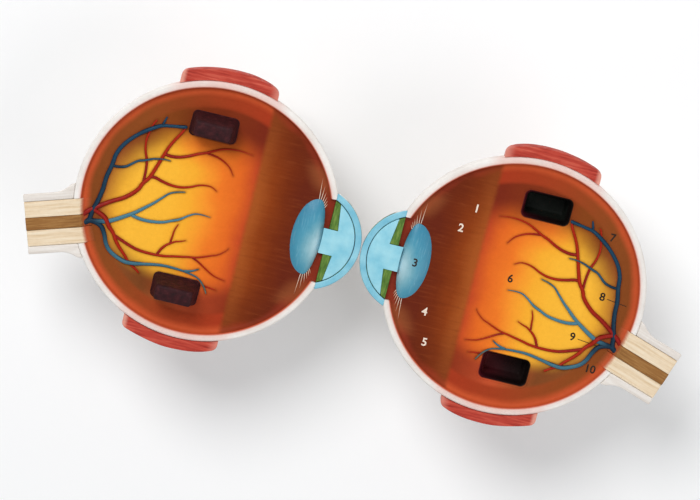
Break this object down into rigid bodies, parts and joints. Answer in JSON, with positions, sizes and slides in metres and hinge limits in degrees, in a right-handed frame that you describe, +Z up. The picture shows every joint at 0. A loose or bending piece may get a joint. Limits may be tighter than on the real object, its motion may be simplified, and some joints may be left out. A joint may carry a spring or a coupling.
{
  "type": "eye anatomy model",
  "caption": "Soft foam eyeball that opens into two halves, showing the parts of the eye in section, with peg-and-socket joins and a stub of optic nerve.",
  "frame": {"origin": "middle of the opened model's footprint, on the table: where the two corneas meet, at the level of both feet", "axes": "+X along the labelled half's eye axis, from its cornea to its optic nerve; +Y up the eye, towards the superior rectus; +Z up from the table, out of both cut faces"},
  "size_m": [0.2558, 0.109, 0.063],
  "materials": {
    "sclera": "satin off-white paint on smooth-skinned foam",
    "choroid": "dark red-brown paint on foam",
    "retina": "orange-brown paint on foam",
    "vitreous": "airbrushed yellow to orange paint on foam",
    "ciliary_body": "airbrushed dark red-brown paint on foam",
    "lens": "light blue satin paint on foam",
    "iris": "green paint on foam",
    "aqueous_humour": "pale blue paint on foam",
    "cornea": "light blue on the cut; green iris with a black pupil painted on the outside",
    "nerve": "cream paint on foam",
    "nerve_core": "olive brown paint on foam",
    "arteries": "dark red paint on a raised ridge",
    "veins": "slate blue paint on a raised ridge",
    "muscle": "brick red airbrushed paint on foam",
    "peg": "very dark maroon foam"
  },
  "bodies": {
    "labelled_half": {"labelled_sclera": "sclera", "labelled_choroid": "choroid", "labelled_retina": "retina", "labelled_vitreous": "vitreous", "labelled_ciliary_body": "ciliary_body", "labelled_lens": "lens", "labelled_iris": "iris", "labelled_aqueous_humour": "aqueous_humour", "labelled_cornea": "cornea", "labelled_nerve_sheath": "sclera", "labelled_nerve_fibres": "nerve", "labelled_nerve_core": "nerve_core", "labelled_arteries": "arteries", "labelled_veins": "veins", "labelled_superior_rectus": "muscle", "labelled_inferior_rectus": "muscle", "labelled_medial_rectus": "muscle"},
    "plain_half": {"plain_sclera": "sclera", "plain_choroid": "choroid", "plain_retina": "retina", "plain_vitreous": "vitreous", "plain_ciliary_body": "ciliary_body", "plain_lens": "lens", "plain_iris": "iris", "plain_aqueous_humour": "aqueous_humour", "plain_cornea": "cornea", "plain_nerve_sheath": "sclera", "plain_nerve_fibres": "nerve", "plain_nerve_core": "nerve_core", "plain_arteries": "arteries", "plain_veins": "veins", "plain_superior_rectus": "muscle", "plain_inferior_rectus": "muscle", "plain_lateral_rectus": "muscle", "plain_upper_peg": "peg", "plain_lower_peg": "peg"}
  },
  "joints": [
    {"name": "halves_hinge", "type": "hinge", "parent": "labelled_half", "child": "plain_half", "pos_m": [0, 0, 0.05315], "axis": [0, 1, 0], "range_deg": [0, 180]}
  ]
}
